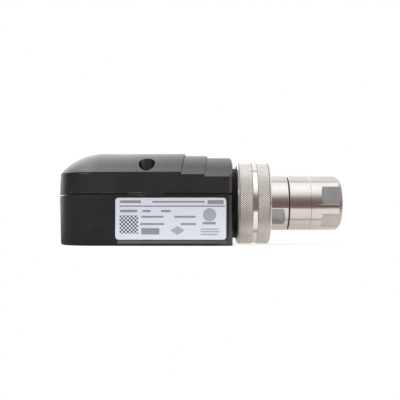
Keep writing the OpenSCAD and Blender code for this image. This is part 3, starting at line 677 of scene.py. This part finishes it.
dress(soften(base, 0.35, angle=40, crease=16), "base_housing", housing_plastic)
for node, width, finish in (
    ("cover", 0.35, housing_plastic),
    ("nameplate", 0.12, plate_face),
    ("gland_body", 0.3, gland_plastic),
    ("gland_dome", 0.4, gland_plastic),
    ("threaded_spigot", 0.2, shaded_neck_plastic),
    ("window_holder", 0.12, holder_metal),
):
    dress(soften(welded_copy(node), width), node, finish)

# %% [markdown]
# ## The burner thread
#
# The adapter screws on a half inch pipe, so its mouth has a thread with 14 turns to the inch. The
# solid model stops at the bore, and the groove is cut here. On a lathe, a pointed tool is fed
# along while the piece turns. In the same way a triangle is carried round the sight axis by a
# Screw modifier, which moves it one pitch each turn, right-handed as pipe threads are. The
# triangle points outwards from just inside the bore, and runs out past the mouth.

# %% Thread cutter
PITCH = 25.4 / 14 * MM
TURNS = 8
GROOVE_FOOT = 9.2 * MM
TOOL_RADIUS = 0.92 * MM
TOOL_FLATTEN = 0.9
RUN_OUT = 1.1 * MM
tool_height = GROOVE_FOOT + TOOL_FLATTEN * TOOL_RADIUS / 2
bpy.ops.object.select_all(action="DESELECT")
bpy.ops.mesh.primitive_circle_add(
    vertices=3, radius=TOOL_RADIUS, location=(RUN_OUT - TURNS * PITCH, 0, tool_height),
    rotation=(math.pi / 2, 0, 0), fill_type="NOTHING",
)
cutter = bpy.context.object
cutter.name = "thread_cutter"
cutter.scale = (1, TOOL_FLATTEN, 1)
bpy.ops.object.transform_apply(location=True, rotation=True, scale=True)
bpy.ops.object.modifier_add(type="SCREW")
coil = cutter.modifiers[-1]
coil.axis = "X"
coil.screw_offset = PITCH
coil.iterations = TURNS
coil.steps = 60
coil.render_steps = 60
bpy.ops.object.modifier_apply(modifier=coil.name)
print("thread cutter", len(cutter.data.polygons), "faces")

# %% [markdown]
# The coil is a long tube with open ends. It is closed, and its faces are turned outwards, because
# a Boolean needs to know its inside. Then the Boolean takes it from the adapter, and the cutter has
# done its work.

# %% Burner thread
bpy.ops.object.mode_set(mode="EDIT")
bpy.ops.mesh.select_all(action="SELECT")
bpy.ops.mesh.remove_doubles(threshold=0.001 * MM)
bpy.ops.mesh.fill_holes(sides=3)
bpy.ops.mesh.select_all(action="SELECT")
bpy.ops.mesh.normals_make_consistent(inside=False)
bpy.ops.object.mode_set(mode="OBJECT")
adapter = welded_copy("burner_adapter")
bpy.ops.object.modifier_add(type="BOOLEAN")
cut = adapter.modifiers[-1]
cut.operation = "DIFFERENCE"
cut.solver = "EXACT"
cut.object = cutter
bpy.ops.object.modifier_apply(modifier=cut.name)
bpy.data.objects.remove(cutter)
dress(soften(adapter, 0.1), "burner_adapter", barrel_metal)

# %% [markdown]
# ## The union nut
#
# A lathe makes the nut, so it is modelled the way a lathe works, from an outline of its cut
# half. The outline starts in the bore on the housing side, goes round the left rim, over both
# bands and round the right rim, and comes back through the shoulder. The bands get many
# stations close together, on the radius of the knurl's valleys. Rims are written as pairs of
# millimetres: how far along from the nut's end, and how far in from its radius.

# %% Nut outline
ROW = 0.62 * MM
BAND_LEFT = (1.35, 8.15)
BAND_RIGHT = (10.45, 16.6)
BAND_END = 0.06 * MM
WAIST_DEPTH = 0.42 * MM
RIM_LEFT = ((0, 1.1), (0.5, 0.5), (1.2, 0.1))
RIM_RIGHT = ((-0.8, 0.15), (-0.2, 0.85), (0, 1.2))
NUT_BORE = 18.41 * MM
NUT_HOLE = 14.43 * MM
SHOULDER = 4.0 * MM
BORE_CHAMFER = 0.8 * MM
HOLE_CHAMFER = 0.4 * MM


def band_rows(x0, x1):
    """Evenly spaced stations over a knurled band, with an even number of steps."""
    count = 2 * round((x1 - x0) * MM / ROW / 2)
    return [nut_low.x + (x0 + (x1 - x0) * i / count) * MM for i in range(count + 1)]


def rim(end, pairs):
    """The points of a rim, from the nut's end and its outer radius."""
    return [(end + along * MM, nut_radius - inward * MM) for along, inward in pairs]


left_rows = band_rows(*BAND_LEFT)
right_rows = band_rows(*BAND_RIGHT)
waist = nut_radius - WAIST_DEPTH
nut_outline = [(nut_low.x, NUT_BORE + BORE_CHAMFER)] + rim(nut_low.x, RIM_LEFT)
nut_outline += [(x, valley) for x in left_rows]
nut_outline += [(left_rows[-1] + BAND_END, waist), (right_rows[0] - BAND_END, waist)]
nut_outline += [(x, valley) for x in right_rows]
nut_outline += rim(nut_high.x, RIM_RIGHT) + [(nut_high.x, NUT_HOLE + HOLE_CHAMFER)]
nut_outline += [(nut_high.x - HOLE_CHAMFER, NUT_HOLE), (nut_high.x - SHOULDER, NUT_HOLE)]
nut_outline += [(nut_high.x - SHOULDER, NUT_BORE), (nut_low.x + BORE_CHAMFER, NUT_BORE)]
print("nut outline", len(nut_outline), "points")

# %% [markdown]
# A circle is drawn at the outline's first point, then extruded along the axis and widened or
# narrowed, one station after another, until the outline closes. Spin could turn an outline
# too, but this way every row has the same spokes from the start, and the knurl needs them.

# %% Union nut
SPOKES = 236


def turn_outline(name, outline, spokes):
    """Turns a closed outline of place along the axis and radius, starting from its first point."""
    (x, r), rest = outline[0], outline[1:] + outline[:1]
    bpy.ops.object.select_all(action="DESELECT")
    bpy.ops.mesh.primitive_circle_add(
        vertices=spokes, radius=r, location=(x, 0, 0), rotation=(0, math.pi / 2, 0)
    )
    piece = bpy.context.object
    piece.name = name
    bpy.ops.object.transform_apply(location=True, rotation=True, scale=True)
    bpy.ops.object.mode_set(mode="EDIT")
    bpy.ops.mesh.select_all(action="SELECT")
    for new_x, new_r in rest:
        bpy.ops.mesh.extrude_region_move(TRANSFORM_OT_translate={"value": (new_x - x, 0, 0)})
        grow = new_r / r
        bpy.ops.transform.resize(value=(1, grow, grow), center_override=(new_x, 0, 0))
        x, r = new_x, new_r
    bpy.ops.mesh.select_all(action="SELECT")
    bpy.ops.mesh.remove_doubles(threshold=0.001 * MM)
    bpy.ops.mesh.normals_make_consistent(inside=False)
    bpy.ops.object.mode_set(mode="OBJECT")
    return piece


nut = turn_outline("knurled_nut", nut_outline, SPOKES)
print(nut.name, len(nut.data.polygons), "faces")

# %% [markdown]
# ## The knurl
#
# Two wheels with slanted teeth press a knurl into a nut, and small pyramids stay between their
# marks. Here every second point of the bands, as on a chess board, is pushed out, and each becomes
# the tip of a pyramid. The points are told apart by row and spoke: where the two add up to an even
# number, the point is a tip. The faces are then cut in two along their shorter diagonal, which
# gives each pyramid straight sides.

# %% Knurl


def is_tip(place, rows):
    """Says whether a point of the nut is a tip of the band that has these rows."""
    step = rows[1] - rows[0]
    row = round((place.x - rows[0]) / step)
    on_row = abs(place.x - rows[0] - row * step) < 0.01 * MM
    on_band = on_row and 0 < row < len(rows) - 1
    outside = math.hypot(place.y, place.z) > valley - 0.01 * MM
    spoke = round(math.atan2(place.z, place.y) / (2 * math.pi) * SPOKES)
    return on_band and outside and (row + spoke) % 2 == 0


only(nut)
for rows in (left_rows, right_rows):
    tips = [is_tip(vertex.co, rows) for vertex in nut.data.vertices]
    for parts in (nut.data.edges, nut.data.polygons):
        parts.foreach_set("select", [False] * len(parts))
    nut.data.vertices.foreach_set("select", tips)
    bpy.ops.object.mode_set(mode="EDIT")
    bpy.ops.mesh.select_mode(type="VERT")
    out = nut_radius / valley
    bpy.ops.transform.resize(value=(1, out, out), center_override=(0, 0, 0))
    bpy.ops.object.mode_set(mode="OBJECT")
    print("knurl tips", sum(tips))
bpy.ops.object.mode_set(mode="EDIT")
bpy.ops.mesh.select_all(action="SELECT")
bpy.ops.mesh.quads_convert_to_tris(quad_method="SHORTEST_DIAGONAL")
bpy.ops.object.mode_set(mode="OBJECT")
bpy.ops.object.shade_smooth_by_angle(angle=math.radians(14))
dress(nut, "union_nut", nut_metal, "nut")

# %% [markdown]
# ## The table
#
# A product picture of shiny metal is mostly a picture of what the metal reflects. The bands on
# the barrel tell what stood round it. A ray that meets a round barrel halfway up its front is
# thrown straight up, so each height on the barrel shows one direction of the room: a pale tent
# overhead, a pale wall behind, a white table below, and a dark, warm room behind the camera.
#
# The table is a short sheet, with its sides given in metres. Its front edge lies close to the
# detector, because the room's dark reflection starts not far below the middle of the barrel.

# %% Table
TABLE_FRONT = -0.058
TABLE_BACK = 1.6
TABLE_LEFT = -0.9
TABLE_RIGHT = 0.16
TABLE_GAP = 0.02 * MM
bpy.ops.object.select_all(action="DESELECT")
bpy.ops.mesh.primitive_plane_add(size=1, location=(
    (TABLE_LEFT + TABLE_RIGHT) / 2, (TABLE_FRONT + TABLE_BACK) / 2, base_low.z - TABLE_GAP
))
table = bpy.context.object
table.name = "table"
table.scale = (TABLE_RIGHT - TABLE_LEFT, TABLE_BACK - TABLE_FRONT, 1)
bpy.ops.object.transform_apply(location=True, rotation=True, scale=True)
print("table", tuple(round(side, 3) for side in table.dimensions), "m")

# %% [markdown]
# The cloth on it is plain white and takes the detector's shadow. A ray from the camera sees it
# mixed with an even glow, which makes it as white as the background. A ray off the glossy pieces
# sees a glow painted in tones of its own, a painted reflection: cream, with a painted shadow line
# under the barrel, where the table lies in its shade, a warm stretch past the mouth, and a painted
# shadow beside the housing. The line draws the thin dark stripe low on the barrel, and the painted
# shadow keeps the housing's wall black.

# %% Cloth on the table
CREAM = (1.0, 0.95, 0.91)
SHADE_LINE = (0.12, 0.11, 0.1)
SHADE_Y = -15.3
SHADE_REACH = (2.4, 0.9)
WARM = (0.72, 0.42, 0.27)
BESIDE_SHADOW = (0.16, 0.16, 0.17)
cloth = Finish("table_white", Roughness=0.9, Specular_IOR_Level=0.1)
cloth.shader.inputs["Base Color"].default_value = (0.93, 0.93, 0.93, 1)
camera_ray, glossy_ray, clear_ray = (
    cloth.node("ShaderNodeLightPath", output=kind)
    for kind in ("Is Camera Ray", "Is Glossy Ray", "Is Transmission Ray")
)
# Painted shadow line under the barrel and painted shadow beside the housing, in the glow that
# glossy rays see.
under_barrel = (cloth.along("Y") - SHADE_Y).abs().ramp(*SHADE_REACH)
past_mouth = cloth.along("X").ramp(4, 20)
housing_shadow = cloth.along("X").ramp(base_high.x / MM + 1, base_high.x / MM - 9)
tone = cloth.blend(under_barrel, CREAM, SHADE_LINE)
tone = cloth.blend(past_mouth, tone, WARM)
tone = cloth.blend(housing_shadow, tone, BESIDE_SHADOW)
tone = cloth.blend(glossy_ray, (1, 1, 1), tone)
glow = cloth.node("ShaderNodeEmission", inputs={"Color": tone, "Strength": 1.0})
share = camera_ray * 0.82 + glossy_ray * (0.5 + 0.45 * housing_shadow) + clear_ray * 0.5
surface = Flow(cloth, cloth.shader.outputs["BSDF"])
mixed = cloth.node("ShaderNodeMixShader", inputs={"Fac": share, 1: surface, 2: glow})
output = cloth.tree.nodes["Material Output"]
cloth.tree.links.new(mixed.socket, output.inputs["Surface"])
table.data.materials.append(cloth.done())

# %% [markdown]
# ## The room
#
# The room is a world whose colour depends on the direction. Each table of colours goes up from
# the horizon at 0 to straight overhead at 1.
#
# - FRONT_STOPS: from the dark, warm room behind the camera to the tent overhead.
# - COOL_STOPS: the same on the left, where the black housing stands. A glossy black wall shows
#   little but this part of the room, and a cool, dark lower half keeps it black.
# - BACK_STOPS: the pale wall behind. A dark seam high up draws the thin dark stripe that runs
#   along the upper half of the barrel.
# - SIDE_STOPS: the far right, which the mouth of the adapter faces, warm near the table.

# %% Tones of the room
FRONT_STOPS = [
    (0.0, (0.22, 0.145, 0.13)), (0.07, (0.26, 0.155, 0.145)), (0.22, (0.35, 0.24, 0.22)),
    (0.36, (0.4, 0.34, 0.33)), (0.5, (0.72, 0.68, 0.66)), (0.63, (1.1, 1.07, 1.05)),
    (0.74, (1.35, 1.33, 1.32)), (0.85, (1.52, 1.5, 1.5)), (0.95, (1.55, 1.53, 1.53)),
    (1.0, (1.4, 1.39, 1.39)),
]
COOL_STOPS = [
    (0.0, (0.27, 0.265, 0.29)), (0.1, (0.08, 0.08, 0.085)), (0.36, (0.14, 0.14, 0.15)),
    (0.48, (1.1, 1.1, 1.14)), (0.74, (1.35, 1.35, 1.38)), (1.0, (1.35, 1.35, 1.37)),
]
BACK_STOPS = [
    (0.0, (1.05, 1.05, 1.06)), (0.7, (1.1, 1.1, 1.1)), (0.945, (1.15, 1.14, 1.13)),
    (0.966, (0.1, 0.095, 0.09)), (0.98, (0.85, 0.84, 0.83)), (1.0, (1.3, 1.29, 1.29)),
]
SIDE_STOPS = [
    (0.0, (0.62, 0.4, 0.28)), (0.06, (0.62, 0.56, 0.53)), (0.25, (0.95, 0.93, 0.92)),
    (1.0, (1.2, 1.2, 1.2)),
]
print("tones:", [len(stops) for stops in (FRONT_STOPS, COOL_STOPS, BACK_STOPS, SIDE_STOPS)])

# %% [markdown]
# Masks made from the direction's X, Y and Z choose between the tables, with soft borders. The
# border between front and back leans towards the camera as it rises, as the cloth of a tent does.
# A brighter panel high on the left is the light that the vault of the cover mirrors. To the
# camera, the whole room is white.

# %% Room
LEAN = 0.45
PANEL = 1.0
world = bpy.data.worlds.new("tent")
bpy.context.scene.world = world
world.use_nodes = True
room = Graph(world.node_tree)
direction = room.node("ShaderNodeTexCoord", output="Generated")
across, back, up = (room.part(direction, axis) for axis in "XYZ")
cool = across.ramp(0.1, 0.0)
behind = (back + LEAN * (up * up)).ramp(0.4, 0.7)
side = across.ramp(0.55, 0.8)
panel = across.ramp(0.08, -0.25) * across.ramp(-0.7, -0.4) * up.ramp(0.2, 0.45)
light = room.blend(cool, room.stops(up, FRONT_STOPS), room.stops(up, COOL_STOPS))
light = room.blend(behind, light, room.stops(up, BACK_STOPS))
light = room.blend(side, light, room.stops(up, SIDE_STOPS))
light = room.node(
    "ShaderNodeVectorMath", {"operation": "SCALE"}, {0: light, "Scale": 1 + PANEL * panel}
)
seen = room.node("ShaderNodeLightPath", output="Is Camera Ray")
sky = room.tree.nodes["Background"]
room.tree.links.new(room.blend(seen, light, (1, 1, 1)).socket, sky.inputs["Color"])
sky.inputs["Strength"].default_value = 1.0
print("room", len(room.tree.nodes), "nodes")

# %% [markdown]
# ## The lamps
#
# Two large, soft lamps stand at the front, left and right and rather high. The barrel can't mirror
# them towards the camera from there, so they only lift the plate and the small faces of the knurl.

# %% Lamps
LAMP_AWAY = 500 * MM
LAMP_RISE = math.radians(35)
LAMP_SIZE = 0.25
LAMP_POWER = 0.22
middle = (cad_box[0] + cad_box[1]) / 2
for name, swing in (("lamp_left", -58), ("lamp_right", 58)):
    turn = math.radians(swing)
    flat = LAMP_AWAY * math.cos(LAMP_RISE)
    away = Vector((flat * math.sin(turn), -flat * math.cos(turn), LAMP_AWAY * math.sin(LAMP_RISE)))
    bpy.ops.object.light_add(
        type="AREA", location=middle + away, rotation=away.to_track_quat("Z", "Y").to_euler()
    )
    lamp = bpy.context.object
    lamp.name = name
    lamp.data.size = LAMP_SIZE
    lamp.data.energy = LAMP_POWER
    print(name, [round(part, 3) for part in lamp.location])

# The Standard view shows colours as they are written.

# %% Colour view
bpy.context.scene.view_settings.view_transform = "Standard"
